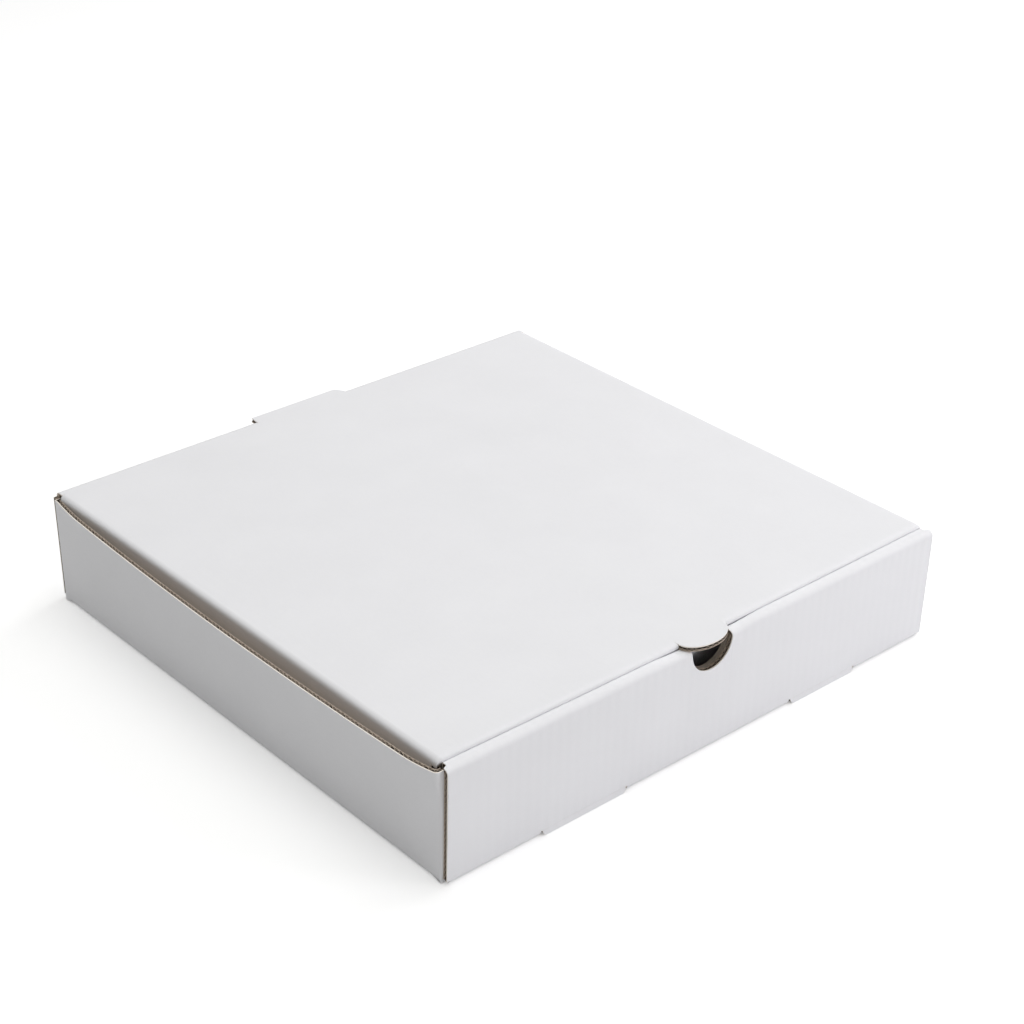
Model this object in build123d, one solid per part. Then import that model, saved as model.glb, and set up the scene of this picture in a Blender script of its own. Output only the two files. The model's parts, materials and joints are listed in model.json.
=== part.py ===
from build123d import *
import os
from math import cos, hypot, radians

# Board and overall sizes, in millimetres
board = 2.6                     # thickness of the corrugated board
fold_inside = 0.25              # inside radius of every crease
ply_gap = 0.25                  # air between plies that lie face to face
box_width = 322.0               # across the outer faces of the side walls
box_depth = 318.0               # from the front face to the back face
box_height = 63.5               # from the floor to the top of the closed lid

# Tray sizes
wall_end_inset = 1.2            # front and back walls stop short of the side faces
left_wall_height = 60.4
left_wall_lean = 3.7            # how far the left wall's top edge leans out along most of its length
left_wall_arch = 4.2            # how much farther its middle springs out
right_wall_height = 57.6
right_wall_lean = 0.3
right_wall_arch = 0.4
lean_run = 18.0                 # length at each corner over which a leaning top edge swings out
bow_start = 8.0                 # height where a side wall starts to lean
tab_lift = 0.3                  # the thumb tab lies this far above the rolled front wall
inner_panel_inset = 2.4         # the tucked inner panel is shorter at each end
corner_flap_length = 65.0
corner_flap_taper = 12.0        # the flap's free end is this much shorter at the top
lock_spacing = 160.0            # between the middles of the two locks
lock_width = 50.0
lock_relief = 1.0               # slot beyond each end of a tongue
tongue_corner = 2.8             # rounding of a tongue's lower corners
notch_width = 26.8              # thumb notch in the rolled front wall
notch_depth = 13.8
notch_shift = 2.0               # the notch sits right of the middle

# Lid sizes
lid_side_clearance = 0.4        # to the inner face of a side wall
lid_front_clearance = 0.5       # to the tucked inner panel
side_flap_depth = 45.0
side_flap_end_gap = 3.0         # from the lid's front edge, and again from the back crease
flap_taper = 9.0                # flaps narrow by this much at each end of the free edge
flap_corner = 8.0               # rounding of the flaps' free corners
front_flap_depth = 40.0
front_flap_inset = 4.0          # front flap is shorter than the lid at each end
swing_clearance = 5.0           # between the front flap's lower edge and the front wall
thumb_tab_radius = 15.6
thumb_tab_reach = 12.3          # beyond the lid's front edge
hinge_tab_width = 65.6          # at its root, on the crease
hinge_tab_taper = 4.2           # each end slopes in by this much
hinge_tab_reach = 4.2           # beyond the back crease
hinge_tab_shift = -3.8          # the tab sits left of the middle
hinge_tab_clearance = 1.0       # between the tab and the notch that it leaves
crease_gap = 0.4                # between lid and back wall along the mitred crease
pivot_offset = 0.15             # the crease turns about a line just outside the board

# Values worked out from the sizes above
half_board = board / 2
fold_middle = fold_inside + half_board
fold_outside = fold_inside + board
half_width = box_width / 2
half_depth = box_depth / 2
wall_half = half_width - wall_end_inset
inner_panel_half = wall_half - inner_panel_inset
roll_width = 3 * board + 2 * ply_gap
front_middle = half_board - half_depth
inner_panel_back = roll_width - half_depth
inner_panel_front = inner_panel_back - board
side_end = half_depth - board - ply_gap
base_top = board + ply_gap

lid_half = half_width - board - lid_side_clearance
lid_front = inner_panel_back + lid_front_clearance
lid_middle = box_height - half_board
lid_back = half_depth - fold_outside
lid_under = box_height - board
roll_top = lid_under - tab_lift
crease_height = box_height - fold_outside
pivot_reach = (fold_outside + pivot_offset) * cos(radians(45))
pivot_y = lid_back + pivot_reach
pivot_z = crease_height + pivot_reach


def panel(x_range, y_range, z_range):
    """A flat piece of board between two opposite corners."""
    low, high = zip(x_range, y_range, z_range)
    size = [b - a for a, b in zip(low, high)]
    middle = [(a + b) / 2 for a, b in zip(low, high)]
    return Pos(*middle) * Box(*size)


def folded_strip(plane, path, length):
    """Board that follows a path drawn at mid thickness, as long as the crease."""
    return extrude(plane * trace(path, board), length / 2, both=True)


def prism(plane, outline, length):
    """A straight cutter with the given outline, centred on the plane."""
    return extrude(plane * outline, length / 2, both=True)


def both_sides(solid):
    """A piece and its mirror image on the other side of the box."""
    return solid + mirror(solid, Plane.YZ)


def flap_outline(half_length, top, bottom):
    """A flap's outline: narrower at the free edge, with rounded free corners."""
    free_half = half_length - flap_taper
    shape = Polygon(
        (-half_length, top), (half_length, top), (free_half, bottom), (-free_half, bottom), align=None
    )
    return fillet(shape.vertices().group_by(Axis.Y)[0], flap_corner)


def hinge_crease(start_angle, length):
    """One half of the rounded back crease, cut back from the mitre."""
    arc = CenterArc((lid_back, crease_height), fold_middle, start_angle, 45)
    half = folded_strip(Plane.YZ, arc, length)
    mitre = Pos(0, lid_back, crease_height) * Rot(45, 0, 0) * Box(box_width, 3 * fold_outside, crease_gap)
    return half - mitre


def main_strip():
    """Back wall, base, front panel, rolled top and tucked inner panel, as one folded run."""
    inner_middle = inner_panel_back - half_board
    path = FilletPolyline(
        (-front_middle, crease_height),
        (-front_middle, half_board),
        (front_middle, half_board),
        (front_middle, roll_top - half_board),
        (inner_middle, roll_top - half_board),
        (inner_middle, base_top),
        radius=fold_middle,
    )
    strip = folded_strip(Plane.YZ, path, 2 * wall_half)
    # The base gives way to the side creases
    base_edge = panel(
        (half_width - fold_outside, half_width), (-side_end, side_end), (-board, board + ply_gap / 2)
    )
    # The roll narrows towards the inner panel, which has to pass between the side walls
    roll_start = board + ply_gap - half_depth
    roll_half = half_width - fold_outside - ply_gap
    roll_end = Polygon(
        (roll_half, roll_start),
        (inner_panel_half, inner_panel_front),
        (inner_panel_half, inner_panel_back + board),
        (half_width, inner_panel_back + board),
        (half_width, roll_start),
        align=None,
    )
    end_cut = extrude(Plane.XY.offset(board + ply_gap / 2) * roll_end, box_height)
    return strip - both_sides(base_edge) - both_sides(end_cut)


def top_edge_offset(along, half_length, lean, arch):
    """How far a side wall's top edge stands out, at a place along it."""
    share = min((half_length - abs(along)) / lean_run, 1)
    return lean * share**2 * (3 - 2 * share) + arch * (1 - (along / half_length) ** 2)


def side_wall(height, lean, arch):
    """Right side wall: crease, wall leaning out along its top edge, corner bends and flaps."""
    side_middle = half_width - half_board
    path = FilletPolyline(
        (side_middle, bow_start),
        (side_middle, half_board),
        (half_width - fold_outside - board, half_board),
        radius=fold_middle,
    )
    bend = side_end - fold_outside
    wall = folded_strip(Plane.XZ, path, 2 * bend)
    inner = half_width - board
    foot = Pos((half_width + inner) / 2, 0) * Rectangle(board, 2 * bend)
    quarter = (bend, bend - lean_run / 2, bend - lean_run, bend / 2)
    places = [-place for place in quarter] + [0] + list(reversed(quarter))
    offsets = [top_edge_offset(place, bend, lean, arch) for place in places]
    outer_edge = Spline(*((half_width + out, place) for out, place in zip(offsets, places)))
    inner_edge = Spline(*((inner + out, place) for out, place in reversed(list(zip(offsets, places)))))
    ends = [Line(outer_edge @ 1, inner_edge @ 0), Line(inner_edge @ 1, outer_edge @ 0)]
    crown = make_face([outer_edge, inner_edge, *ends])
    wall += loft([Plane.XY.offset(bow_start) * foot, Plane.XY.offset(height) * crown], ruled=True)

    under_roll = roll_top - board - ply_gap
    for direction, start, flap_top in ((-1, 270, min(height, under_roll)), (1, 0, height)):
        bend_arc = CenterArc((half_width - fold_outside, direction * bend), fold_middle, start, 90)
        corner = trace(bend_arc, board)
        wall += extrude(Plane.XY.offset(base_top) * corner, height - base_top)
        flap_root = half_width - fold_outside
        flap_end = half_width - corner_flap_length
        flap = Polygon(
            (flap_root, base_top),
            (flap_root, flap_top),
            (flap_end + corner_flap_taper, flap_top),
            (flap_end, base_top),
            align=None,
        )
        flap_plane = Plane.XZ.offset(-direction * (side_end - half_board))
        wall += prism(flap_plane, flap, board)
    return wall


def front_lock(lock_x):
    """Tongue of the front panel and tab of the inner panel, either side of one lock slot."""
    tongue_half = lock_width / 2
    outline = Pos(lock_x, fold_outside) * Rectangle(lock_width, 2 * fold_outside)
    outline = fillet(outline.vertices().group_by(Axis.Y)[0], tongue_corner)
    tongue = prism(Plane.XZ.offset(-front_middle), outline, board)
    tab_half = tongue_half - lock_relief
    tab = panel(
        (lock_x - tab_half, lock_x + tab_half), (inner_panel_front, inner_panel_back), (ply_gap, 2 * base_top)
    )
    return tongue + tab


def lock_slot(lock_x):
    """Slot through the base and its front crease for one lock."""
    slot_half = lock_width / 2 + lock_relief
    return panel(
        (lock_x - slot_half, lock_x + slot_half),
        (-half_depth - board, inner_panel_back + ply_gap),
        (-board, board + ply_gap / 2),
    )


def thumb_notch():
    """Round-ended notch through both plies of the rolled front wall."""
    radius = notch_width / 2
    middle = roll_top - notch_depth + radius
    outline = Pos(notch_shift, middle) * Circle(radius)
    outline += Pos(notch_shift, middle + notch_depth / 2) * Rectangle(notch_width, notch_depth)
    return prism(Plane.XZ.offset(half_depth - roll_width / 2), outline, roll_width + board)


def hinge_notch():
    """Notch that the hinge tab leaves in the top of the back wall."""
    swing_radius = hypot(half_depth + hinge_tab_reach - pivot_y, pivot_z - lid_under)
    bottom = pivot_z - swing_radius - hinge_tab_clearance
    root_half = hinge_tab_width / 2 + hinge_tab_clearance
    tip_half = root_half - hinge_tab_taper
    outline = Polygon(
        (-root_half, box_height), (-root_half, lid_under), (-tip_half, bottom),
        (tip_half, bottom), (root_half, lid_under), (root_half, box_height),
        align=None,
    )
    return Pos(hinge_tab_shift, 0, 0) * prism(Plane.XZ.offset(-(half_depth - half_board)), outline, 4 * board)


def make_tray():
    """Base with its four walls, the corner flaps and the locked double front wall."""
    tray = main_strip() + hinge_crease(0, 2 * wall_half) - hinge_notch() - thumb_notch()
    for lock_x in (-lock_spacing / 2, lock_spacing / 2):
        tray = tray - lock_slot(lock_x) + front_lock(lock_x)
    left_wall = mirror(side_wall(left_wall_height, left_wall_lean, left_wall_arch), Plane.YZ)
    return tray + left_wall + side_wall(right_wall_height, right_wall_lean, right_wall_arch)


def front_flap():
    """Front tuck flap with the half-moon opening that the thumb tab leaves in it."""
    reach = pivot_y - lid_front
    drop = front_flap_depth - half_board
    forward_swing = drop**2 / (2 * reach)
    lean = forward_swing + swing_clearance
    fold_line = lid_front + half_board
    path = FilletPolyline(
        (lid_front + fold_outside + board, lid_middle),
        (fold_line, lid_middle),
        (fold_line + lean, box_height - front_flap_depth),
        radius=fold_middle,
    )
    half_length = lid_half - front_flap_inset
    strip = folded_strip(Plane.YZ, path, 2 * half_length)
    outline = flap_outline(half_length, lid_under, box_height - front_flap_depth - board)
    outline += Pos(0, lid_middle) * Rectangle(2 * half_length, 2 * board)
    strip = strip & prism(Plane.XZ, outline, 2 * box_depth)
    opening_radius = thumb_tab_radius + ply_gap
    opening = Pos(0, box_height - thumb_tab_reach + thumb_tab_radius) * Circle(opening_radius)
    opening += Pos(0, box_height) * Rectangle(2 * opening_radius, 2 * fold_outside)
    return strip - prism(Plane.XZ.offset(-lid_front), opening, 4 * fold_outside)


def side_flap():
    """Right side flap of the lid, tucked inside the side wall."""
    fold_line = lid_half - half_board
    path = FilletPolyline(
        (lid_half - fold_outside - board, lid_middle),
        (fold_line, lid_middle),
        (fold_line, box_height - side_flap_depth),
        radius=fold_middle,
    )
    flap_front = lid_front + side_flap_end_gap
    flap_back = lid_back - side_flap_end_gap
    half_length = (flap_back - flap_front) / 2
    strip = folded_strip(Plane.XZ, path, 2 * half_length)
    outline = flap_outline(half_length, lid_under, box_height - side_flap_depth)
    outline += Pos(0, lid_middle) * Rectangle(2 * half_length, 2 * board)
    strip = strip & prism(Plane.YZ, outline, 2 * box_width)
    return Pos(0, (flap_front + flap_back) / 2, 0) * strip


def hinge_tab():
    """Tab in the lid's plane that stands out behind the crease when the lid is shut."""
    root_half = hinge_tab_width / 2
    tip_half = root_half - hinge_tab_taper
    tip = half_depth + hinge_tab_reach
    outline = Polygon(
        (-root_half, lid_back - board), (root_half, lid_back - board), (root_half, pivot_y),
        (tip_half, tip), (-tip_half, tip), (-root_half, pivot_y),
        align=None,
    )
    return Pos(hinge_tab_shift, 0, 0) * prism(Plane.XY.offset(lid_middle), outline, board)


def make_lid():
    """Lid panel with its flaps, the thumb tab and the hinge tab."""
    lid = panel((-lid_half, lid_half), (lid_front, lid_back), (lid_under, box_height))
    # Square corners stay flat; the panel gives way to the creases between them
    flap_front = lid_front + side_flap_end_gap
    flap_back = lid_back - side_flap_end_gap
    side_edge = panel(
        (lid_half - fold_outside, lid_half + board), (flap_front, flap_back), (lid_under, box_height)
    )
    front_half = lid_half - front_flap_inset
    front_edge = panel(
        (-front_half, front_half), (lid_front - board, lid_front + fold_outside), (lid_under, box_height)
    )
    lid = lid - both_sides(side_edge) - front_edge
    lid = lid + front_flap() + both_sides(side_flap())
    tab_middle = lid_front - thumb_tab_reach + thumb_tab_radius
    lid += Pos(0, tab_middle, lid_middle) * Cylinder(thumb_tab_radius, board)
    tab_zone = hinge_tab_width / 2 + ply_gap
    crease = hinge_crease(45, 2 * wall_half) - panel(
        (hinge_tab_shift - tab_zone, hinge_tab_shift + tab_zone),
        (lid_back, half_depth),
        (crease_height, box_height),
    )
    # The back corners reach out over the side walls
    lid += panel((-wall_half, wall_half), (flap_back, lid_back), (lid_under, box_height))
    return lid + crease + hinge_tab()


os.makedirs("parts", exist_ok=True)
for name, solid in {"tray": make_tray(), "lid": make_lid()}.items():
    export_step(solid, f"parts/{name}.step")
print(f"lid crease turns about y {pivot_y:.3f} z {pivot_z:.3f}")
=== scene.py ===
import json
from math import asin, ceil, cos, floor, hypot, inf, pi, radians, sin, sqrt, tan

import bmesh
import bpy
from mathutils import Matrix, Vector, noise
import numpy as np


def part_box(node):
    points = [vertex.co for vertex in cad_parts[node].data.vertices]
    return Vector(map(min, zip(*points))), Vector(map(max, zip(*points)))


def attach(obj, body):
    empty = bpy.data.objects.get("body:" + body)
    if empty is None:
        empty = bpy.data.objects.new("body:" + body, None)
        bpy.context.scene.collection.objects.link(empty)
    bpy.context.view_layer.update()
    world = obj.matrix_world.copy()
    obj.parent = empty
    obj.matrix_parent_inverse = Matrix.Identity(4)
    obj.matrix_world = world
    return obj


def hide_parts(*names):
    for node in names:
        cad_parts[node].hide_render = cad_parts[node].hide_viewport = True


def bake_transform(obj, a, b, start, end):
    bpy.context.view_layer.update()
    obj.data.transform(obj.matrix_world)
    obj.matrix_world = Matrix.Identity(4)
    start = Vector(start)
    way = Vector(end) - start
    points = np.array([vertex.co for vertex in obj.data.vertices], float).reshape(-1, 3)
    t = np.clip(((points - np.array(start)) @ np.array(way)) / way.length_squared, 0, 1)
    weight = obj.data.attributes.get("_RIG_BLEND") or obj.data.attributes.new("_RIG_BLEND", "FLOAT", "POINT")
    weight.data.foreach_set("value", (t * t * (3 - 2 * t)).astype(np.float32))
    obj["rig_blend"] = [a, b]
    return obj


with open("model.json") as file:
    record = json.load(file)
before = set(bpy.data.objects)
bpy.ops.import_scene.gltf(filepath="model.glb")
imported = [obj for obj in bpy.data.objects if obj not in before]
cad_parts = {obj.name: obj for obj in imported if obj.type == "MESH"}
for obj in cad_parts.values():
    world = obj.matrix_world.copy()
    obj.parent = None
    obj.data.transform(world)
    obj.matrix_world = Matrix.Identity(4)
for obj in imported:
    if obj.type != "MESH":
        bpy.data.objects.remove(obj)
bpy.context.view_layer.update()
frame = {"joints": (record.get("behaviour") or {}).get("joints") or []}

# Tray sheet: base, walls, corner flaps and rolled front wall are one die-cut piece of corrugated board.
# It is drawn flat at the board's mid thickness, with x across the flutes, and folded along its creases.
# The creases are pressed lines; only the two front locks hold it together.
mm = 0.001
tiny = 0.0001 * mm
board = 2.6 * mm
fold_inside = 0.25 * mm
fold_middle = fold_inside + board / 2
fold_outside = fold_inside + board
crease_length = fold_middle * pi / 2
crease_steps = 6
tight = 1.5 * mm                         # outer radius of a crease that is folded hard
sharp = 0.6 * mm                         # and of one pressed against its neighbour
ply_gap = 0.25 * mm
flute_pitch = 5.9 * mm
columns_per_flute = 8

tray_low, tray_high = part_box("tray")
lid_low, lid_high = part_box("lid")
half_depth = tray_high.y
box_height = lid_high.z
lid_under = box_height - board
lid_clearance = 0.3 * mm
roll_top = lid_under - lid_clearance
half_width = 161.0 * mm
end_inset = 1.2 * mm                     # the front and back walls' ends, inside the side walls' white faces
inner_panel_inset = 2.4 * mm             # the inner panel is narrower still, and tapers to its foot
inner_panel_foot_inset = 6.5 * mm
wall_half = half_width - end_inset
base_half = half_width - fold_outside
base_end = half_depth - fold_outside
base_top = board + ply_gap
roll_width = 3 * board + 2 * ply_gap
inner_panel_half = wall_half - inner_panel_inset
inner_panel_foot = wall_half - inner_panel_foot_inset
wall_foot = 0.8 * crease_length          # beyond the base, the ends of front and back wall start here
crease_height = box_height - fold_outside


class FoldedRun:
    """The board's middle line in one plane: straight legs, each ending in a crease or a cut."""

    def __init__(self, start, heading, side, legs):
        self.side = side
        self.parts = []
        self.rows = []
        point = Vector(start)
        angle = radians(heading)
        distance = 0.0
        for length, turn, outer_radius in legs:
            self.parts.append((distance, point, angle, None))
            point = point + length * self.direction(angle)
            distance += length
            if turn:
                bend = radians(turn)
                centre = point - fold_middle * self.outward(angle)
                bisector = self.outward(angle + side * bend / 2)
                outer_centre = centre + (fold_outside - outer_radius) / cos(bend / 2) * bisector
                self.parts.append((distance, centre, angle, (outer_centre, outer_radius)))
                arc = bend * fold_middle
                self.rows += [distance + arc * k / crease_steps for k in range(crease_steps + 1)]
                angle += side * bend
                point = centre + fold_middle * self.outward(angle)
                distance += arc + 4 * tiny

    @staticmethod
    def direction(angle):
        return Vector((cos(angle), sin(angle)))

    def outward(self, angle):
        return self.direction(angle - self.side * pi / 2)

    def at(self, distance):
        """The point at that distance along the board, and the way from its middle to its white face."""
        start, point, angle, outer = [part for part in self.parts if part[0] <= distance + tiny][-1]
        gone = distance - start
        if outer is None:
            return point + gone * self.direction(angle), self.outward(angle)
        out = self.outward(angle + self.side * gone / fold_middle)
        outer_centre, outer_radius = outer
        inner_face = point + fold_inside * out
        outer_face = outer_centre + outer_radius * out
        return (inner_face + outer_face) / 2, (outer_face - inner_face) / board


def flute_columns(start, end, cuts):
    """Places across the flutes that get vertices: evenly over each flute, and at each cut."""
    step = flute_pitch / columns_per_flute
    even = [k * step for k in range(ceil(start / step), floor(end / step) + 1)]
    kept = [place for place in even if all(abs(place - cut) > step / 4 for cut in cuts)]
    return sorted(kept + list(cuts))


def side_of(across):
    """1 on the right half, -1 on the left."""
    return 1 if across > 0 else -1


def is_column(across, place):
    """Whether this is the column that far from the middle, on either side."""
    return abs(abs(across) - place) < tiny


def straight(along):
    """An edge that runs straight across the sheet."""
    return lambda across: along


def on_side(side, bands):
    """Bands drawn for the right half, on the right (1) or mirrored to the left (-1)."""
    if side > 0:
        return bands
    return [(-end, -start, low, high) for start, end, low, high in bands]


def strip_faces(left, right):
    """Corners of the faces between two columns of marks, from the low end up: (column, mark) pairs."""
    i = j = 0
    while i + 1 < len(left) or j + 1 < len(right):
        next_left = left[i + 1] if i + 1 < len(left) else inf
        next_right = right[j + 1] if j + 1 < len(right) else inf
        corners = [(0, left[i]), (1, right[j])]
        if next_right <= next_left + tiny:
            j += 1
            corners.append((1, right[j]))
        if next_left <= next_right + tiny:
            i += 1
            corners.append((0, left[i]))
        yield corners


def new_sheet():
    """An empty sheet. Its vertices know their place across the flutes and which way the white face looks."""
    sheet = bmesh.new()
    sheet.verts.layers.float.new("across")
    sheet.verts.layers.float.new("pinch")
    sheet.verts.layers.float_vector.new("lift")
    return sheet


def add_patch(sheet, columns, bands, rows, place, pinch=lambda across, along: 0.0):
    """Adds the area covered by bands (start, end, low, high), and folds it with place(across, along)."""
    layers = sheet.verts.layers
    marks = {column: set() for column in columns}
    spans = []
    for start, end, low, high in bands:
        span = {c: (low(c), high(c)) for c in columns if start - tiny <= c <= end + tiny}
        spans.append(span)
        for column, (bottom, top) in span.items():
            inside = [row for row in rows(column) if bottom + tiny < row < top - tiny]
            marks[column].update(round(mark, 7) for mark in (bottom, *inside, top))
    made = {}
    for span in spans:
        inside = list(span)
        for pair in zip(inside, inside[1:]):
            sides = []
            for column in pair:
                bottom, top = span[column]
                sides.append(sorted(m for m in marks[column] if bottom - tiny < m < top + tiny))
            for corners in strip_faces(*sides):
                face = []
                for which, along in corners:
                    key = (pair[which], along)
                    if key not in made:
                        point, lift = place(*key)
                        made[key] = sheet.verts.new(point)
                        made[key][layers.float["across"]] = pair[which]
                        made[key][layers.float["pinch"]] = pinch(*key)
                        made[key][layers.float_vector["lift"]] = lift
                    face.append(made[key])
                sheet.faces.new(face)


front_rise = roll_top - 2 * fold_outside
inner_drop = roll_top - fold_outside - ply_gap
front_run = FoldedRun(
    (-base_end, board / 2), 180, -1,
    [
        (0, 90, fold_outside), (front_rise, 90, fold_outside), (roll_width - 2 * fold_outside, 90, sharp),
        (inner_drop, 0, 0),
    ],
)
back_run = FoldedRun(
    (base_end, board / 2), 0, 1, [(0, 90, fold_outside), (crease_height - fold_outside, 0, 0)]
)
front_foot = base_end + crease_length
front_bend = front_foot + front_rise
roll_start = front_bend + crease_length
roll_end = roll_start + roll_width - 2 * fold_outside
inner_bend = roll_end + crease_length


def ease(share):
    """A smooth rise from 0 to 1."""
    share = min(max(share, 0), 1)
    return share**2 * (3 - 2 * share)


notch_half = 13.4 * mm
notch_depth = 15.0 * mm
notch_shift = 0.6 * mm
press_depth = board + ply_gap            # round the notch the inner panel lies against the front panel
press_end = 48.0 * mm
press_drop = 6.0 * mm
front_slide = 1.25 * mm                  # the front wall's top has slid to the right
front_spread = 0.55 * mm                 # and its ends lean out
back_lean = 1.0 * mm                     # the back wall's left end leans out to the left
back_lean_start = 90.0 * mm
bow_ends = 1.3 * mm                      # how far roll and lid bow forward at the ends of the front wall
bow_middle = 2.4 * mm
bow_half = 150.0 * mm
roll_spring = 0.9 * mm                   # away from the notch the roll has sprung up
spring_start = 16.0 * mm
spring_run = 22.0 * mm


def front_bow(across):
    """How far the roll's back edge and the lid's front edge have moved forward together."""
    return bow_middle - (bow_middle - bow_ends) * min(abs(across) / bow_half, 1)**2


def front_shift(across, height):
    """How far to the right the front wall has moved at that height."""
    return (front_slide + front_spread * across / wall_half) * height / roll_top


def place_on_main(across, along):
    """Base, back wall, front panel, roll and inner panel."""
    x = across
    point, lift = Vector((along, board / 2)), Vector((0, -1))
    if along < -base_end:
        point, lift = front_run.at(-base_end - along)
        x += front_shift(across, point.y)
        beside_notch = ease((abs(across - notch_shift) - spring_start) / spring_run)
        point.y += roll_spring * beside_notch * point.y / roll_top
        point.x -= front_bow(across) * min(max((-along - roll_start) / (roll_end - roll_start), 0), 1)
        near = ease((press_end - abs(across - notch_shift)) / (press_end - notch_half))
        point.x -= (press_depth - bow_middle) * near * ease((-along - inner_bend) / press_drop)
    elif along > base_end:
        point, lift = back_run.at(along - base_end)
        near_end = ease((-across - back_lean_start) / (wall_half - back_lean_start))
        x -= back_lean * near_end * point.y / roll_top
    return (x, *point), (0, *lift)


notch_left = notch_shift - notch_half
notch_right = notch_shift + notch_half
notch_middle = roll_top - notch_depth + notch_half


def notch_height(across):
    """Height of the thumb notch's rim above the floor."""
    return notch_middle - sqrt(max(notch_half**2 - (across - notch_shift)**2, 0))


def notch_front(across):
    """The front panel ends at the notch."""
    height = min(notch_height(across), roll_top - fold_outside)
    return -(front_foot + height - fold_outside)


def notch_inner(across):
    """The inner panel starts again below the notch."""
    height = min(notch_height(across), roll_top - fold_outside)
    return -(inner_bend + roll_top - fold_outside - height)


inner_panel_end = straight(-(inner_bend + roll_top - fold_outside - base_top))
lock_tab_end = straight(-(inner_bend + inner_drop))
roll_taper = 2.2 * mm
inner_panel_taper = 12.0 * mm


def roll_corner(across):
    """The roll is cut square at its ends, and slants in where it bends down to the inner panel."""
    share = (abs(across) - inner_panel_half) / (wall_half - inner_panel_half)
    return -(roll_end - share * roll_taper)


def inner_panel_slant(across):
    """The inner panel's ends slope in below the roll, so that it passes between the side walls."""
    share = (inner_panel_half - abs(across)) / (inner_panel_half - inner_panel_foot)
    return -(inner_bend + share * inner_panel_taper)


_, pivot_y, pivot_z = frame["joints"][0]["pos_m"]
hinge_tab_left = -33.0 * mm
hinge_tab_right = 27.6 * mm
left_slope = 0.5 * mm
right_slope = 3.5 * mm
hinge_tab_clearance = 1.0 * mm
slope_drop = 0.5 * mm                    # the notch's slopes start this far below the crease
hinge_tab_swing = hypot(lid_high.y - pivot_y, pivot_z - lid_under)
hinge_notch_bottom = pivot_z - hinge_tab_swing - hinge_tab_clearance
hinge_notch_top = crease_height - slope_drop
hinge_notch_left = hinge_tab_left - hinge_tab_clearance
hinge_notch_right = hinge_tab_right + hinge_tab_clearance


def slope_share(across, left, right):
    """0 along the hinge tab's tip, rising to 1 where its sloped ends meet the crease."""
    share = max(1 - (across - left) / left_slope, 1 - (right - across) / right_slope)
    return min(max(share, 0), 1)


def back_wall_end(across):
    """The back wall ends at the hinge crease, or at the notch that the hinge tab leaves."""
    share = slope_share(across, hinge_notch_left, hinge_notch_right)
    height = hinge_notch_bottom + share * (hinge_notch_top - hinge_notch_bottom)
    if not hinge_notch_left - tiny < across < hinge_notch_right + tiny:
        height = crease_height
    return base_end + crease_length + height - fold_outside


lock_middle = {-1: 77.8 * mm, 1: 83.9 * mm}
tongue_half = {-1: 26.0 * mm, 1: 23.2 * mm}
lock_relief = 1.0 * mm
tongue_lean = 0.7 * mm
tongue_corner = 2.8 * mm
slot_edge = straight(-(half_depth - roll_width - ply_gap))
panel_foot = straight(-front_foot)
front_end_foot = straight(-(base_end + wall_foot))
back_end_foot = straight(base_end + wall_foot)
main_bands = []
main_cuts = []
slot_in = {}
for side in (-1, 1):
    tongue_in = lock_middle[side] - tongue_half[side]
    tongue_out = lock_middle[side] + tongue_half[side]
    tab_in = tongue_in + lock_relief
    tab_out = tongue_out - lock_relief
    slot_in[side] = tongue_in - lock_relief
    slot_out = tongue_out + lock_relief
    main_bands += on_side(side, [
        (slot_in[side], slot_out, slot_edge, back_wall_end),
        (slot_in[side], tab_in, inner_panel_end, panel_foot),
        (tab_in, tab_out, lock_tab_end, panel_foot),
        (tab_out, slot_out, inner_panel_end, panel_foot),
        (slot_out, inner_panel_foot, inner_panel_end, back_wall_end),
        (inner_panel_foot, inner_panel_half, inner_panel_slant, back_wall_end),
        (inner_panel_half, base_half, roll_corner, back_wall_end),
        (base_half, wall_half, roll_corner, front_end_foot),
        (base_half, wall_half, back_end_foot, back_wall_end),
    ])
    main_cuts += [side * cut for cut in (
        slot_in[side], tongue_in, tab_in, tab_out, tongue_out, slot_out,
        inner_panel_foot, inner_panel_half, base_half, wall_half,
    )]
main_bands += [
    (-slot_in[-1], hinge_notch_left, inner_panel_end, back_wall_end),
    (hinge_notch_left, notch_left, inner_panel_end, back_wall_end),
    (notch_left, notch_right, notch_front, back_wall_end),
    (notch_left, notch_right, inner_panel_end, notch_inner),
    (notch_right, hinge_notch_right, inner_panel_end, back_wall_end),
    (hinge_notch_right, slot_in[1], inner_panel_end, back_wall_end),
]


def arc_columns(middle, half):
    """Columns along a round cut, closer together towards its ends."""
    return [middle + half * sin(radians(turn)) for turn in range(-90, 91, 3)]


notch_cuts = arc_columns(notch_shift, notch_half)
main_cuts += notch_cuts
main_cuts += [
    hinge_notch_left, hinge_notch_left + left_slope, hinge_notch_right - right_slope, hinge_notch_right,
]
main_columns = flute_columns(-wall_half, wall_half, main_cuts)

# A toothed cutting rule leaves a nip every few millimetres along a cut.
nip_pitch = 3.0 * mm
nip_steps = 6
hollow_depth = 2.0 * mm                  # behind the cut the fluting stays pressed to the kraft liner
pressed_in = -0.9
nip_wander = 0.35                        # shifts of a nip, as a share of the pitch
wander_run = 4 * nip_pitch
nip_sharpness = 4.5
nip_strength = 1.1
nip_variation = 0.5


def nip(along):
    """Where the fluting is pushed at a cut: -1 to the kraft liner, 1 to the white liner, as at a nip."""
    wander = nip_wander * noise.noise((along / wander_run, 0.5, 0.5))
    phase = (along / nip_pitch + wander) % 1
    strength = nip_strength + nip_variation * noise.noise((along / nip_pitch, 1.5, 0.5))
    push = max(0.0, 1 - nip_sharpness * abs(phase - 0.5)) * strength
    return min(2 * push, 2) - 1


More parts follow.
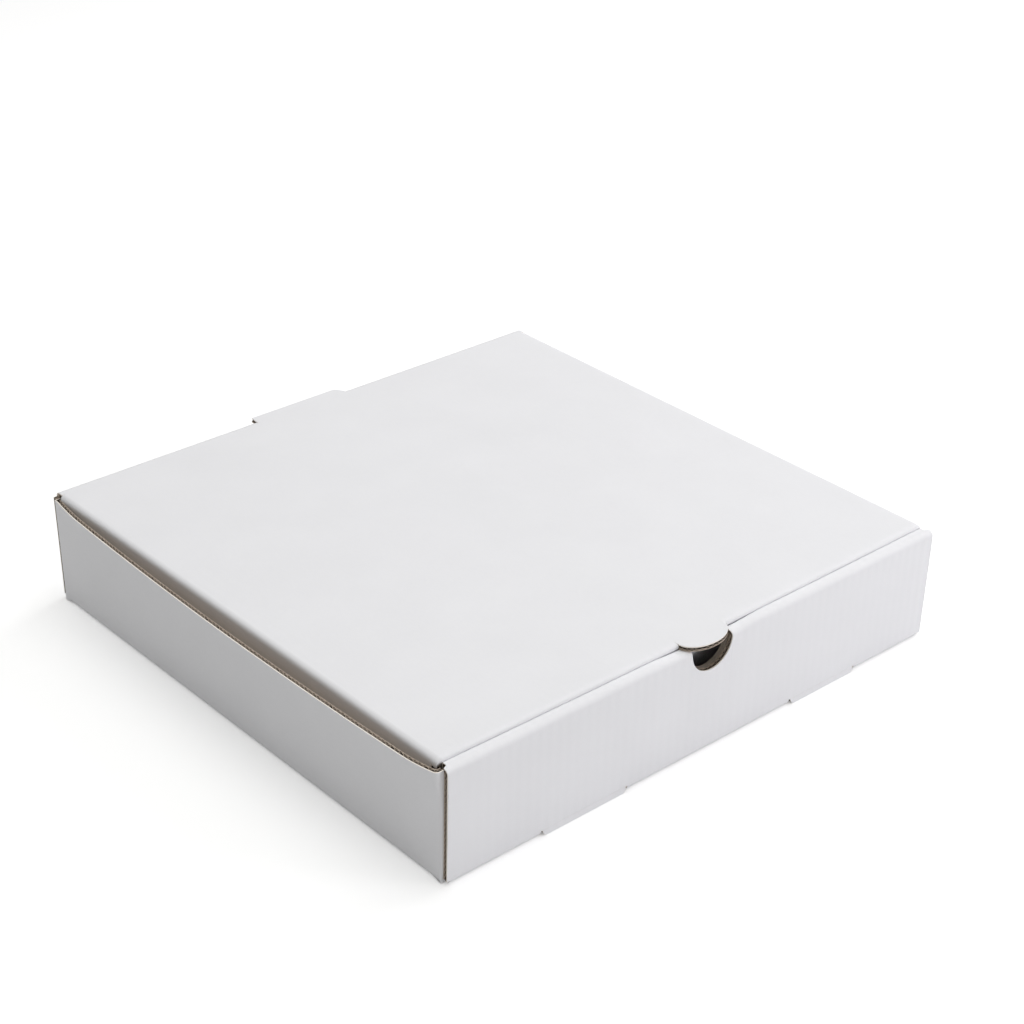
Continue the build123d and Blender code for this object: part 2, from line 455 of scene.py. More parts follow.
def nip_rows(start, end):
    step = nip_pitch / nip_steps
    return [k * step for k in range(ceil(start / step), floor(end / step) + 1)]


bow_start = 8.0 * mm
wall_height = {-1: 60.4 * mm, 1: 57.6 * mm}
wall_lean = {-1: 3.7 * mm, 1: 0.3 * mm}
corner_lean = {-1: 1.0 * mm, 1: 0.0}     # at the back corner
wall_arch = {-1: -tray_low.x - half_width - wall_lean[-1], 1: tray_high.x - half_width - wall_lean[1]}
arch_play = 0.15 * mm
lean_run = 25.0 * mm                     # the top edge swings out from the back corner over this length
lean_growth = 0.27                       # and leans more towards the front
front_pull = {-1: 3.0 * mm, 1: 0.0}      # the left front corner bend is drawn in behind the front panel
pull_run = 18.0 * mm
pull_rise = 25.0 * mm
pull_ease = 0.4                          # less so at the top
ease_start = 32.0 * mm
round_rise = 20.0 * mm                   # front corner bends are sharp at the floor, and round above
bend_foot = 0.4 * mm
side_end = half_depth - board - ply_gap
corner_bend = side_end - fold_outside
flap_length = 61.0 * mm
flap_taper = 12.0 * mm
lean_steps = 6
bow_steps = 16
lean_rows = [corner_bend - lean_run * k / lean_steps for k in range(lean_steps + 1)]
bow_rows = [corner_bend * k / bow_steps for k in range(2 - bow_steps, bow_steps - 1)]
bow_rows += lean_rows + [-row for row in lean_rows]
corner_rows = [corner_bend + crease_length * k / crease_steps for k in range(crease_steps + 1)]
side_rows = bow_rows + corner_rows + [-row for row in corner_rows]
corner_end = corner_bend + crease_length
wall_start = base_half + crease_length - fold_outside
side_run = FoldedRun((base_half, board / 2), 0, 1, [(0, 90, fold_outside), (box_height, 0, 0)])
round_bend, sharp_bend = (
    FoldedRun((corner_bend, half_width - board / 2), 0, -1, [(0, 90, outer_radius), (flap_length, 0, 0)])
    for outer_radius in (fold_outside, sharp)
)
wall_reach = {side: wall_start + height for side, height in wall_height.items()}
under_roll_reach = wall_start + roll_top - board - ply_gap
flap_reach = base_half + 0.85 * crease_length    # the corner bends start on the bottom crease
corner_overlap = 2.0 * mm                # beside the roll the front corner bend ends just past its crease


def main_rows(column):
    rows = [-base_end - row for row in front_run.rows] + [base_end + row for row in back_run.rows]
    if is_column(column, base_half):
        rows += side_rows
    if is_column(column, wall_half):
        rows += nip_rows(-front_bend, -front_foot) + nip_rows(front_foot, front_bend)
    return rows


def main_pinch(across, along):
    if is_column(across, wall_half):
        return nip(along)
    share = (across - notch_shift) / notch_half
    if abs(share) < 1 and abs(along - notch_front(across)) < tiny:
        return nip(notch_half * asin(share))
    return pressed_in if abs(across) > wall_half - hollow_depth else 0.0


def place_on_side(across, along):
    """Side wall, whose top edge leans out, with its corner bends and corner flaps."""
    side = side_of(across)
    (x, z), (lift_x, lift_z) = side_run.at(abs(across) - base_half)
    wall_along = min(max(along, -corner_bend), corner_bend)
    rise = max(z - bow_start, 0) / (wall_height[side] - bow_start)
    from_corner = min((corner_bend - wall_along) / lean_run, 1)
    full_lean = wall_lean[side] * (1 - lean_growth * wall_along / corner_bend)
    lean = full_lean + (corner_lean[side] - full_lean) * (1 - from_corner)**2
    arch = (wall_arch[side] - arch_play) * (1 - (wall_along / corner_bend)**2)
    near_front = max((pull_run - corner_bend - wall_along) / pull_run, 0)
    eased = 1 - pull_ease * ease((z - ease_start) / (wall_height[side] - ease_start))
    drawn_in = front_pull[side] * near_front**2 * ease(z / pull_rise) * eased
    shift = rise * (lean + arch) - drawn_in
    if abs(along) <= corner_bend:
        return (side * (x + shift), along, z), (side * lift_x, 0, lift_z)
    end = 1 if along > 0 else -1
    roundness = ease(z / round_rise) if end < 0 else 0
    sharp_point, sharp_lift = sharp_bend.at(abs(along) - corner_bend)
    round_point, round_lift = round_bend.at(abs(along) - corner_bend)
    y, x = sharp_point.lerp(round_point, roundness)
    lift_y, lift_x = sharp_lift.lerp(round_lift, roundness)
    if is_column(across, flap_reach):
        z = bend_foot
    return (side * (x + shift), end * y, z), (side * lift_x, end * lift_y, 0)


crease_edge = straight(corner_bend)
corner_edge = straight(corner_end + corner_overlap)


def flap_end(across):
    """Free end of a corner flap, slanted towards the top."""
    share = (abs(across) - flap_reach) / (max(wall_reach.values()) - flap_reach)
    return corner_end + flap_length - share * flap_taper


def mirrored(edge):
    """The same edge at the other end of a side wall."""
    return lambda across: -edge(across)


def at_wall_top(column):
    return any(is_column(column, reach) for reach in wall_reach.values())


def side_wall_rows(column):
    return side_rows + (nip_rows(-corner_bend, corner_bend) if at_wall_top(column) else [])


def side_wall_pinch(across, along):
    if at_wall_top(across):
        return nip(along)
    reach = wall_reach[side_of(across)]
    return pressed_in if abs(across) > reach - hollow_depth else 0.0


def place_on_tongue(across, along):
    """Tongue of the front panel that runs on down past the front crease."""
    x = across + front_shift(across, along)
    y = board / 2 - half_depth - tongue_lean * (1 - along / fold_outside)
    return (x, y, along), (0, -1, 0)


def tongue_edge(across):
    """Lower edge of a tongue, rounded at both ends."""
    side = side_of(across)
    past = max(abs(abs(across) - lock_middle[side]) - tongue_half[side] + tongue_corner, 0)
    return tongue_corner - sqrt(max(tongue_corner**2 - past**2, 0))


tongue_root = straight(fold_outside)
tray_sheet = new_sheet()
add_patch(tray_sheet, main_columns, main_bands, main_rows, place_on_main, main_pinch)
for side in (-1, 1):
    front_flap_top = min(wall_reach[side], under_roll_reach)
    wall_cuts = sorted({base_half, flap_reach, front_flap_top, wall_reach[side]})
    wall_columns = flute_columns(
        *sorted((side * base_half, side * wall_reach[side])), [side * cut for cut in wall_cuts]
    )
    foot_range = sorted((side * base_half, side * flap_reach))
    flap_range = sorted((side * flap_reach, side * front_flap_top))
    crown_range = sorted((side * front_flap_top, side * wall_reach[side]))
    wall_bands = [
        (*foot_range, mirrored(crease_edge), crease_edge),
        (*flap_range, mirrored(flap_end), flap_end),
        (*crown_range, mirrored(corner_edge), flap_end),
    ]
    add_patch(tray_sheet, wall_columns, wall_bands, side_wall_rows, place_on_side, side_wall_pinch)
    tongue_range = sorted(side * (lock_middle[side] + end * tongue_half[side]) for end in (-1, 1))
    tongue_columns = [c for c in main_columns if tongue_range[0] - tiny <= c <= tongue_range[1] + tiny]
    tongue_bands = [(*tongue_range, tongue_edge, tongue_root)]
    add_patch(tray_sheet, tongue_columns, tongue_bands, lambda column: [], place_on_tongue)
bmesh.ops.remove_doubles(tray_sheet, verts=tray_sheet.verts, dist=10 * tiny)

# Papers of the board: a white clay-coated liner outside, a wavy fluting paper of brown fibre, and a
# brown kraft liner inside, glued together at the flute tips. Cut edges show the liners' bare cream fibre.


class Wire:
    """A node's output that can be used in sums: each operator adds a Math node to the same tree."""

    def __init__(self, socket):
        self.socket = socket

    def output(self, name):
        return Wire(self.socket.node.outputs[name])

    def node(self, kind, settings, sockets, output=0):
        """Adds any node: its settings first, then the values or wires of its sockets."""
        tree = self.socket.id_data
        made = tree.nodes.new(kind)
        for name, value in settings.items():
            setattr(made, name, value)
        for name, value in sockets.items():
            if isinstance(value, Wire):
                tree.links.new(value.socket, made.inputs[name])
            else:
                made.inputs[name].default_value = value
        return Wire(made.outputs[output])

    def math(self, operation, first, second):
        return self.node("ShaderNodeMath", {"operation": operation}, {0: first, 1: second})

    def __add__(self, other):
        return self.math("ADD", self, other)

    def __sub__(self, other):
        return self.math("SUBTRACT", self, other)

    def __rsub__(self, other):
        return self.math("SUBTRACT", other, self)

    def __mul__(self, other):
        return self.math("MULTIPLY", self, other)

    def __truediv__(self, other):
        return self.math("DIVIDE", self, other)

    __radd__ = __add__
    __rmul__ = __mul__


cloud_scale = 26.0                       # noise cells to the metre
fibre_scale = (1500.0, 420.0, 700.0)
grain_scale = 2600.0
fibre_relief = 0.7
rough_play = 0.12
paper_gloss = 0.3


def paper(name, deep, pale, cloud_share, fibre_share, roughness, tooth):
    """Matte paper: slow clouding, short fibres lying along the flutes, and a fine tooth."""
    material = bpy.data.materials.new(name)
    material.use_nodes = True
    tree = material.node_tree
    shader = tree.nodes["Principled BSDF"]
    place = Wire(tree.nodes.new("ShaderNodeTexCoord").outputs["Object"])
    cloud = place.node("ShaderNodeTexNoise", {}, {"Vector": place, "Scale": cloud_scale, "Detail": 4.0})
    stretched = place.node("ShaderNodeVectorMath", {"operation": "MULTIPLY"}, {0: place, 1: fibre_scale})
    fibre = place.node("ShaderNodeTexNoise", {}, {"Vector": stretched, "Scale": 1.0, "Detail": 2.0})
    grain = place.node("ShaderNodeTexNoise", {}, {"Vector": place, "Scale": grain_scale, "Detail": 2.0})
    tone = 0.5 + (cloud - 0.5) * cloud_share + (fibre - 0.5) * fibre_share
    colour = place.node(
        "ShaderNodeMix", {"data_type": "RGBA"}, {0: tone, 6: (*deep, 1), 7: (*pale, 1)}, output=2
    )
    height = fibre * fibre_relief + grain * (1 - fibre_relief)
    relief = place.node("ShaderNodeBump", {}, {"Strength": 1.0, "Distance": tooth, "Height": height})
    rough = roughness + (fibre - 0.5) * rough_play
    tree.links.new(colour.socket, shader.inputs["Base Color"])
    tree.links.new(rough.socket, shader.inputs["Roughness"])
    tree.links.new(relief.socket, shader.inputs["Normal"])
    shader.inputs["Specular IOR Level"].default_value = paper_gloss
    return material


white_face = paper("white_liner", (0.80, 0.80, 0.82), (0.90, 0.90, 0.92), 0.5, 0.3, 0.62, 0.012 * mm)
kraft_face = paper("kraft_liner", (0.38, 0.28, 0.19), (0.55, 0.42, 0.30), 0.5, 0.9, 0.75, 0.03 * mm)
# Faces inside the board: brown fibre painted far darker than the paper is, as painted shade for the flute
# hollows
inside_brown_and_painted_shade = paper("inside_of_board_brown_and_painted_shade", (0.06, 0.045, 0.03), (0.14, 0.11, 0.08), 0.5, 0.9, 0.80, 0.03 * mm)
fluting_edge = paper("fluting_edge", (0.28, 0.22, 0.18), (0.46, 0.39, 0.32), 0.4, 1.0, 0.85, 0.02 * mm)
crushed_edge = paper("crushed_edge", (0.27, 0.235, 0.20), (0.40, 0.355, 0.31), 0.4, 1.0, 0.85, 0.03 * mm)
cream_edge = paper("white_liner_edge", (0.86, 0.78, 0.69), (0.98, 0.94, 0.88), 0.4, 1.0, 0.85, 0.02 * mm)
brown_edge = paper("kraft_liner_edge", (0.36, 0.29, 0.23), (0.56, 0.48, 0.40), 0.4, 1.0, 0.85, 0.02 * mm)

white_paper = 0.60 * mm
kraft_paper = 0.45 * mm
fluting_paper = 0.45 * mm
most_washboard = 0.03 * mm
white_height = board / 2 - white_paper / 2 - most_washboard
kraft_height = kraft_paper / 2 + most_washboard - board / 2
fluting_height = (kraft_paper - white_paper) / 2
fluting_wave = (board - white_paper - kraft_paper - fluting_paper) / 2 - 2 * most_washboard
flute_start = 1.2 * mm
weld = 0.02 * mm


def build_ply_tree():
    """Geometry nodes that raise one paper of the board from a folded sheet, wavy and closed at its cuts."""
    tree = bpy.data.node_groups.new("board_ply", "GeometryNodeTree")
    for name, kind in (
        ("Sheet", "Geometry"), ("Height", "Float"), ("Wave height", "Float"), ("Flute pitch", "Float"),
        ("Flute start", "Float"), ("Paper", "Float"), ("Face", "Material"), ("Back", "Material"),
        ("Cut edge", "Material"),
    ):
        tree.interface.new_socket(name, in_out="INPUT", socket_type="NodeSocket" + kind)
    tree.interface.new_socket("Ply", in_out="OUTPUT", socket_type="NodeSocketGeometry")
    given = Wire(tree.nodes.new("NodeGroupInput").outputs["Sheet"])
    attribute = "GeometryNodeInputNamedAttribute"
    across = given.node(attribute, {"data_type": "FLOAT"}, {"Name": "across"})
    pinch = given.node(attribute, {"data_type": "FLOAT"}, {"Name": "pinch"})
    lift = given.node(attribute, {"data_type": "FLOAT_VECTOR"}, {"Name": "lift"})
    turn = (across + given.output("Flute start")) * (2 * pi) / given.output("Flute pitch")
    wave = turn.node("ShaderNodeMath", {"operation": "SINE"}, {0: turn})
    pushed = pinch.node("ShaderNodeMath", {"operation": "ABSOLUTE"}, {0: pinch})
    pressed = wave * (1 - pushed) + pinch
    height = given.output("Height") + given.output("Wave height") * pressed
    thickness = given.output("Paper")

    def raised(amount):
        offset = lift.node("ShaderNodeVectorMath", {"operation": "SCALE"}, {0: lift, "Scale": amount})
        return given.node("GeometryNodeSetPosition", {}, {"Geometry": given, "Offset": offset})

    upper = raised(height + thickness / 2)
    lower = raised(height - thickness / 2)
    lower = lower.node("GeometryNodeFlipFaces", {}, {"Mesh": lower})
    lower = lower.node(
        "GeometryNodeStoreNamedAttribute", {"data_type": "BOOLEAN", "domain": "FACE"},
        {"Geometry": lower, "Name": "back_face", "Value": True},
    )
    faces_beside = given.node("GeometryNodeInputMeshEdgeNeighbors", {}, {})
    at_cut = faces_beside.math("LESS_THAN", faces_beside, 1.5)
    down = lift.node("ShaderNodeVectorMath", {"operation": "SCALE"}, {0: lift, "Scale": 0 - thickness})
    walled = upper.node(
        "GeometryNodeExtrudeMesh", {"mode": "EDGES"},
        {"Mesh": upper, "Selection": at_cut, "Offset": down, "Offset Scale": 1.0},
    )
    marked = walled.node(
        "GeometryNodeStoreNamedAttribute", {"data_type": "BOOLEAN", "domain": "FACE"},
        {"Geometry": walled, "Name": "cut_edge", "Value": walled.output("Side")},
    )
    joined = tree.nodes.new("GeometryNodeJoinGeometry")
    tree.links.new(lower.socket, joined.inputs[0])
    tree.links.new(marked.socket, joined.inputs[0])
    joined = Wire(joined.outputs[0])
    closed = joined.node("GeometryNodeMergeByDistance", {}, {"Geometry": joined, "Distance": weld})
    real = closed.node("GeometryNodeRealizeInstances", {}, {"Geometry": closed})
    coated = real.node("GeometryNodeSetMaterial", {}, {"Geometry": real, "Material": given.output("Face")})
    for mark, material in (("back_face", "Back"), ("cut_edge", "Cut edge")):
        marked_faces = real.node(attribute, {"data_type": "BOOLEAN"}, {"Name": mark})
        coated = coated.node(
            "GeometryNodeSetMaterial", {},
            {"Geometry": coated, "Selection": marked_faces, "Material": given.output(material)},
        )
    result = tree.nodes.new("NodeGroupOutput")
    tree.links.new(coated.socket, result.inputs["Ply"])
    return tree


ply_tree = build_ply_tree()
ply_inputs = {item.name: item.identifier for item in ply_tree.interface.items_tree if item.in_out == "INPUT"}
sharp_turn = radians(50)


def lay_ply(name, sheet, height, wave, thickness, face, back, cut_edge):
    """One paper of a folded sheet as a plain closed mesh, smooth on its faces and crisp at its cuts."""
    flat = bpy.data.meshes.new(name + "_sheet")
    sheet.to_mesh(flat)
    source = bpy.data.objects.new(name + "_sheet", flat)
    bpy.context.scene.collection.objects.link(source)
    modifier = source.modifiers.new("ply", "NODES")
    modifier.node_group = ply_tree
    for label, value in {
        "Height": height, "Wave height": wave, "Flute pitch": flute_pitch, "Flute start": flute_start,
        "Paper": thickness, "Face": face, "Back": back, "Cut edge": cut_edge,
    }.items():
        modifier[ply_inputs[label]] = value
    evaluated = source.evaluated_get(bpy.context.evaluated_depsgraph_get())
    mesh = bpy.data.meshes.new_from_object(evaluated)
    bpy.data.objects.remove(source)
    shell = bmesh.new()
    shell.from_mesh(mesh)
    bmesh.ops.recalc_face_normals(shell, faces=shell.faces)
    for face_made in shell.faces:
        face_made.smooth = True
    for edge in shell.edges:
        edge.smooth = len(edge.link_faces) == 2 and edge.calc_face_angle() < sharp_turn
    shell.to_mesh(mesh)
    shell.free()
    for attribute in ("pinch", "lift", "cut_edge", "back_face", "across"):
        mesh.attributes.remove(mesh.attributes[attribute])
    mesh.name = name
    piece = bpy.data.objects.new(name, mesh)
    bpy.context.scene.collection.objects.link(piece)
    return piece


def lay_board(part, sheet, body, washboard):
    """The three papers of one sheet, riding on its body."""
    papers = (
        ("_white_liner", white_height, washboard, white_paper, white_face, inside_brown_and_painted_shade, cream_edge),
        ("_fluting", fluting_height, fluting_wave, fluting_paper, inside_brown_and_painted_shade, inside_brown_and_painted_shade, fluting_edge),
        ("_kraft_liner", kraft_height, washboard, kraft_paper, inside_brown_and_painted_shade, kraft_face, brown_edge),
    )
    outer, middle, inner = (lay_ply(part + name, sheet, *settings) for name, *settings in papers)
    for piece in (outer, middle, inner):
        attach(piece, body)
    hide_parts(part)


tray_washboard = 0.02 * mm               # the flutes press through the liners
lay_board("tray", tray_sheet, "tray_body", tray_washboard)

# Notch rim: where the notch goes through the inner panel, the cutting rule has crushed the board's edge
# into a flat band of brown fibre.
rim_proud = 0.05 * mm
rim_depth = 0.3 * mm
rim_shell = bmesh.new()
stations = []
for across in notch_cuts:
    point, lift = place_on_main(across, notch_inner(across))
    inward = Vector((notch_shift - across, 0, max(notch_middle - point[2], 0))).normalized()
    faces_apart = Vector(lift) * (board / 2 - most_washboard)
    corners = []
    for reach, face_side in ((rim_proud, 1), (rim_proud, -1), (-rim_depth, -1), (-rim_depth, 1)):
        corners.append(rim_shell.verts.new(Vector(point) + reach * inward + face_side * faces_apart))
    stations.append(corners)
for one, other in zip(stations, stations[1:]):
    for k in range(4):
        rim_shell.faces.new((one[k], one[(k + 1) % 4], other[(k + 1) % 4], other[k]))
rim_shell.faces.new(stations[0])
rim_shell.faces.new(stations[-1])
bmesh.ops.recalc_face_normals(rim_shell, faces=rim_shell.faces)
rim_mesh = bpy.data.meshes.new("notch_rim")
rim_shell.to_mesh(rim_mesh)
rim_shell.free()
rim_mesh.materials.append(crushed_edge)
notch_rim = bpy.data.objects.new("notch_rim", rim_mesh)
bpy.context.scene.collection.objects.link(notch_rim)
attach(notch_rim, "tray_body")

# Lid sheet: the same board beyond the back crease. Two side flaps and a front flap fold down into the
# tray; the half-moon thumb tab and the hinge tab are cut free and stay in the lid's own plane.
lid_middle = box_height - board / 2
lid_half = lid_high.x
lid_panel_half = lid_half - fold_outside
lid_back = half_depth - fold_outside
lid_overlap = 0.45 * mm                  # the lid's rounded front edge lies over the roll's back edge
lid_front = roll_width - half_depth - lid_overlap
front_flap_turn = radians(117)
front_flap_depth = 39.4 * mm
front_crease_tangent = fold_middle * tan(front_flap_turn / 2)
front_crease = lid_front + board / 2 + front_crease_tangent
front_flap_leg = front_flap_depth - front_crease_tangent
lid_front_run = FoldedRun(
    (front_crease, lid_middle), 180, 1, [(0, front_flap_turn * 180 / pi, tight), (front_flap_leg, 0, 0)]
)
side_flap_depth = 45.0 * mm
side_flap_leg = side_flap_depth - fold_outside
side_flap_length = crease_length + side_flap_leg
side_crease = 2.2 * mm
lid_side_run = FoldedRun((lid_panel_half, lid_middle), 0, -1, [(0, 90, side_crease), (side_flap_leg, 0, 0)])
side_flap_relief = 3.0 * mm              # the side flaps end this far short of the back crease
side_flap_back = lid_back - side_flap_relief
lid_flap_taper = 9.0 * mm
lid_flap_corner = 8.0 * mm
corner_spare = 0.6 * mm                  # board left at a front corner beyond its two creases
corner_reach = lid_front_run.rows[-1] + corner_spare
hinge_inset = 1.0 * mm                   # the back crease is this much narrower than the lid at each end
hinge_half = lid_half - hinge_inset


def rounded_corner(past):
    """How far a rounded free corner draws in, that far past where the rounding starts."""
    inside = min(max(past, 0), lid_flap_corner)
    return lid_flap_corner - sqrt(max(lid_flap_corner**2 - inside**2, 0))


def lid_bow(across, along):
    """The lid's front edge bows forward with the roll, and its back edge stays put."""
    share = (lid_back - along) / (lid_back - front_crease)
    return front_bow(across) * min(max(share, 0), 1)


def place_on_lid(across, along):
    """Lid panel with its front flap, its side flaps, and soft corners where two creases meet."""
    x = abs(across)
    y = along
    z = lid_middle
    lift_x = lift_y = 0
    lift_z = 1
    stretch = 1
    if along < front_crease - tiny:
        (y, z), (lift_y, lift_z) = lid_front_run.at(front_crease - along)
        stretch = hypot(lift_y, lift_z)
    if x > lid_panel_half + tiny:
        (x, side_z), (lift_x, lift_side) = lid_side_run.at(x - lid_panel_half)
        z += side_z - lid_middle
        lift_z *= lift_side
        stretch = max(stretch, hypot(lift_x, lift_side))
    side = side_of(across)
    y -= lid_bow(across, along)
    return (side * x, y, z), stretch * Vector((side * lift_x, lift_y, lift_z)).normalized()


def place_in_lid_plane(across, along):
    """Parts of the lid that stay flat beyond a crease."""
    return (across, along - lid_bow(across, along), lid_middle), (0, 0, 1)


thumb_tab_half = 15.1 * mm
thumb_tab_shift = -0.4 * mm
thumb_tab_straight = 1.6 * mm
thumb_tab_root = lid_front - thumb_tab_straight
slit = 0.05 * mm
tab_left = thumb_tab_shift - thumb_tab_half
tab_right = thumb_tab_shift + thumb_tab_half
opening_left = tab_left - slit
opening_right = tab_right + slit


def thumb_tab_edge(across):
    """The tab's outline: short straight sides and a half-oval end."""
    share = (across - thumb_tab_shift) / thumb_tab_half
    reach = (thumb_tab_root - lid_low.y) * sqrt(max(1 - share**2, 0))
    return thumb_tab_root - reach + front_bow(across)


def lid_back_edge(across):
    """The lid ends at the back crease, or at the tip of the hinge tab."""
    share = slope_share(across, hinge_tab_left, hinge_tab_right)
    return lid_high.y - share * (lid_high.y - pivot_y)


def opening_edge(across):
    """The half-moon that the thumb tab leaves in the front flap: the same cut in the flat sheet."""
    inside = min(max(across, tab_left), tab_right)
    return min(thumb_tab_edge(inside) - slit, front_crease - fold_middle * front_flap_turn)


def front_flap_end(across):
    """Free edge of the front flap: slanted ends and rounded corners."""
    free_half = lid_panel_half - lid_flap_taper
    slant = min(max((lid_panel_half - abs(across)) / lid_flap_taper, 0), 1) * front_flap_leg
    corner = rounded_corner(abs(across) - free_half + lid_flap_corner)
    depth = min(slant, front_flap_leg - corner)
    return front_crease - fold_middle * front_flap_turn - depth


def side_flap_inset(across):
    """How far a side flap's slanted, rounded ends have drawn in."""
    gone = abs(across) - lid_panel_half
    straight = max(gone - crease_length, 0)
    slant = straight / side_flap_leg * lid_flap_taper
    return slant + rounded_corner(gone - side_flap_length + lid_flap_corner)


def side_flap_start(across):
    return front_crease + side_flap_inset(across)


def side_flap_stop(across):
    return side_flap_back - side_flap_inset(across)


front_crease_edge = straight(front_crease)
lid_crease_edge = straight(lid_back)
corner_start = straight(front_crease - corner_reach)
back_corner_start = straight(side_flap_back)
lid_bands = [
    (-lid_panel_half, hinge_tab_left, front_flap_end, lid_crease_edge),
    (hinge_tab_left, opening_left, front_flap_end, lid_back_edge),
    (opening_left, opening_right, front_crease_edge, lid_back_edge),
    (opening_left, opening_right, front_flap_end, opening_edge),
    (opening_right, hinge_tab_right, front_flap_end, lid_back_edge),
    (hinge_tab_right, lid_panel_half, front_flap_end, lid_crease_edge),
]
thumb_cuts = arc_columns(thumb_tab_shift, thumb_tab_half)
tab_cuts = [
    hinge_tab_left, hinge_tab_left + left_slope, hinge_tab_right - right_slope, hinge_tab_right,
    opening_left, opening_right,
]
flap_cuts = [lid_panel_half]
flap_cuts += [lid_panel_half - lid_flap_taper - lid_flap_corner * k / 4 for k in range(5)]
lid_columns = flute_columns(
    -lid_panel_half, lid_panel_half, thumb_cuts + tab_cuts + flap_cuts + [-cut for cut in flap_cuts]
)


def lid_rows(column):
    rows = [front_crease - row for row in lid_front_run.rows]
    if is_column(column, lid_panel_half):
        rows.append(side_flap_back)
    return rows


def thumb_tab_pinch(across, along):
    share = (across - thumb_tab_shift) / thumb_tab_half
    if abs(share) < 1 and abs(along - thumb_tab_edge(across)) < tiny:
        return nip(thumb_tab_half * asin(share))
    return 0.0


lid_sheet = new_sheet()
add_patch(lid_sheet, lid_columns, lid_bands, lid_rows, place_on_lid)
tab_columns = [c for c in lid_columns if tab_left - tiny <= c <= tab_right + tiny]
tab_bands = [(tab_left, tab_right, thumb_tab_edge, front_crease_edge)]
add_patch(lid_sheet, tab_columns, tab_bands, lambda column: [], place_in_lid_plane, thumb_tab_pinch)
for side in (-1, 1):
    flap_range = sorted((side * lid_panel_half, side * (lid_panel_half + side_flap_length)))
    corner_range = sorted((side * lid_panel_half, side * (lid_panel_half + corner_reach)))
    back_range = sorted((side * lid_panel_half, side * hinge_half))
    flap_free_edge = lid_panel_half + side_flap_length
    rounding = [flap_free_edge - lid_flap_corner * (1 - sin(radians(turn))) for turn in range(0, 90, 15)]
    side_flap_cuts = [*flap_range, side * (lid_panel_half + corner_reach), *(side * cut for cut in rounding)]
    flap_columns = flute_columns(*flap_range, side_flap_cuts)
    flap_bands = [
        (*flap_range, side_flap_start, side_flap_stop),
        (*corner_range, corner_start, front_crease_edge),
    ]
    add_patch(lid_sheet, flap_columns, flap_bands, lid_rows, place_on_lid)
    back_columns = flute_columns(*back_range, back_range)
    back_bands = [(*back_range, back_corner_start, lid_crease_edge)]
    add_patch(lid_sheet, back_columns, back_bands, lambda column: [], place_in_lid_plane)
bmesh.ops.remove_doubles(lid_sheet, verts=lid_sheet.verts, dist=10 * tiny)
lid_washboard = 0.006 * mm
lay_board("lid", lid_sheet, "lid_body", lid_washboard)

# Hinge crease: the pressed line between back wall and lid, where both liners run on and the fluting is
# crushed flat. It bends between the two halves as the lid swings.
hinge_run = FoldedRun((half_depth - board / 2, crease_height), 90, 1, [(0, 90, fold_outside)])


def place_on_hinge(across, along):
    point, lift = hinge_run.at(along)
    return (across, *point), (0, *lift)


hinge_foot = straight(0.0)
hinge_head = straight(crease_length)
crushed = board - white_paper - 2 * most_washboard
hinge_sheet = new_sheet()
for hinge_range in ((-hinge_half, hinge_tab_left - ply_gap), (hinge_tab_right + ply_gap, hinge_half)):
    hinge_columns = flute_columns(*hinge_range, hinge_range)
    add_patch(
        hinge_sheet, hinge_columns, [(*hinge_range, hinge_foot, hinge_head)],
        lambda column: hinge_run.rows, place_on_hinge,
    )
for name, height, thickness, face, back_face, cut_edge in (
    ("hinge_crease_white", white_height, white_paper, white_face, inside_brown_and_painted_shade, cream_edge),
    ("hinge_crease_kraft", -white_paper / 2, crushed, kraft_face, kraft_face, brown_edge),
):
    crease = lay_ply(name, hinge_sheet, height, 0.0, thickness, face, back_face, cut_edge)
    foot = Vector((0, half_depth - board / 2 + height, crease_height))
    head = Vector((0, lid_back, lid_middle + height))
    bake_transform(crease, "tray_body", "lid_body", start=foot, end=head)

# Floor and light: a plain white floor under a broad overhead softbox, with a softbox at the right and a
# low, weaker one at the front right. The floor looks a little brighter to the camera than it lights.
floor_half = 6.0
floor_white = (0.9, 0.9, 0.9, 1)
floor_brightening = 0.31
floor_mesh = bpy.data.meshes.new("floor")
floor_corners = [(-1, -1), (1, -1), (1, 1), (-1, 1)]
floor_mesh.from_pydata([(x * floor_half, y * floor_half, 0.0) for x, y in floor_corners], [], [(0, 1, 2, 3)])
floor = bpy.data.objects.new("floor", floor_mesh)
bpy.context.scene.collection.objects.link(floor)
floor_material = bpy.data.materials.new("white_floor")
floor_material.use_nodes = True
floor_tree = floor_material.node_tree
floor_shader = floor_tree.nodes["Principled BSDF"]
floor_shader.inputs["Base Color"].default_value = floor_white
floor_shader.inputs["Roughness"].default_value = 0.9
floor_shader.inputs["Specular IOR Level"].default_value = 0.0
floor_shader.inputs["Emission Color"].default_value = (1, 1, 1, 1)
floor_seen = Wire(floor_tree.nodes.new("ShaderNodeLightPath").outputs["Is Camera Ray"])
floor_glow = floor_seen * floor_brightening
floor_tree.links.new(floor_glow.socket, floor_shader.inputs["Emission Strength"])
floor_mesh.materials.append(floor_material)

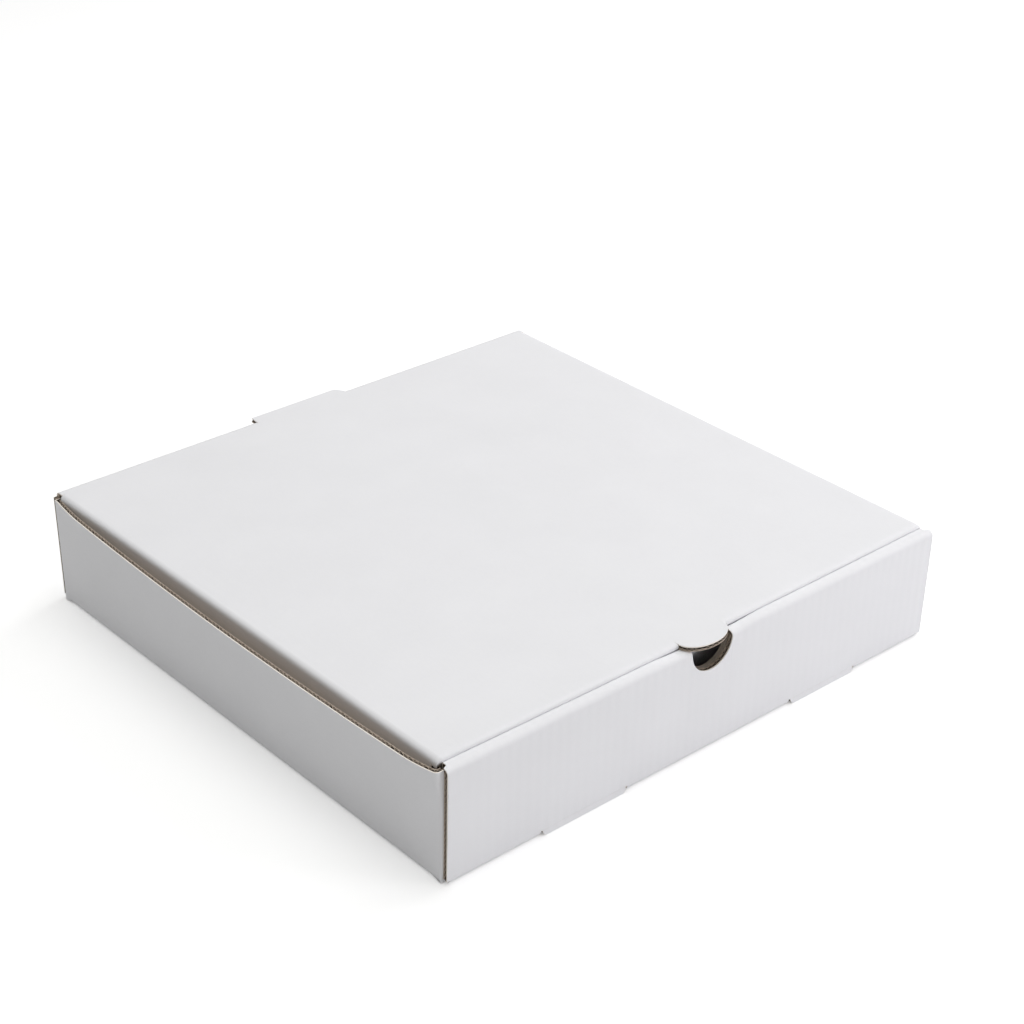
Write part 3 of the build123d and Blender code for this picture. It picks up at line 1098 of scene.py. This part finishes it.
around = 0.22                            # light from all round, where the camera sees white
softbox_white = (1.0, 1.0, 0.985)
world = bpy.data.worlds.new("studio")
bpy.context.scene.world = world
world.use_nodes = True
sky = world.node_tree.nodes["Background"]
sky_seen = Wire(world.node_tree.nodes.new("ShaderNodeLightPath").outputs["Is Camera Ray"])
sky_strength = sky_seen * (1 - around) + around
world.node_tree.links.new(sky_strength.socket, sky.inputs["Strength"])
sky.inputs["Color"].default_value = (*softbox_white, 1)

for name, place, lamp_size, power, tint in (
    ("overhead_softbox", (0.05, -0.05, 1.90), 2.4, 28.8, softbox_white),
    ("right_softbox", (1.80, 0.20, 1.20), 1.4, 13.8, (1.0, 0.99, 1.02)),
    ("front_fill", (0.90, -1.30, 0.30), 0.5, 6.7, (1.0, 0.985, 1.03)),
):
    lamp = bpy.data.lights.new(name, "AREA")
    lamp.shape = "SQUARE"
    lamp.size = lamp_size
    lamp.energy = power
    lamp.color = tint
    softbox = bpy.data.objects.new(name, lamp)
    softbox.location = place
    softbox.rotation_euler = Vector(place).to_track_quat("Z", "Y").to_euler()
    bpy.context.scene.collection.objects.link(softbox)

# Camera: the photograph's view from the front left and above, with a long lens. It looks at a point on
# the floor and is rolled by less than a degree.
camera_azimuth = radians(-41.574)
camera_elevation = radians(29.187)
camera_roll = radians(0.857)
camera_target = Vector((0.08336, 0.07602, 0.0))
camera_distance = 1.2624
to_camera = Vector((
    sin(camera_azimuth) * cos(camera_elevation),
    -cos(camera_azimuth) * cos(camera_elevation),
    sin(camera_elevation),
))
right = Vector((cos(camera_azimuth), sin(camera_azimuth), 0))
up = to_camera.cross(right)
rolled_right = cos(camera_roll) * right + sin(camera_roll) * up
rolled_up = cos(camera_roll) * up - sin(camera_roll) * right
camera = bpy.data.objects.new("camera", bpy.data.cameras.new("camera"))
camera.data.lens = 77.73
camera.data.sensor_width = 36.0
turned = Matrix((rolled_right, rolled_up, to_camera)).transposed().to_4x4()
camera.matrix_world = Matrix.Translation(camera_target + camera_distance * to_camera) @ turned
bpy.context.scene.collection.objects.link(camera)
bpy.context.scene.camera = camera
bpy.context.scene.view_settings.view_transform = "Standard"
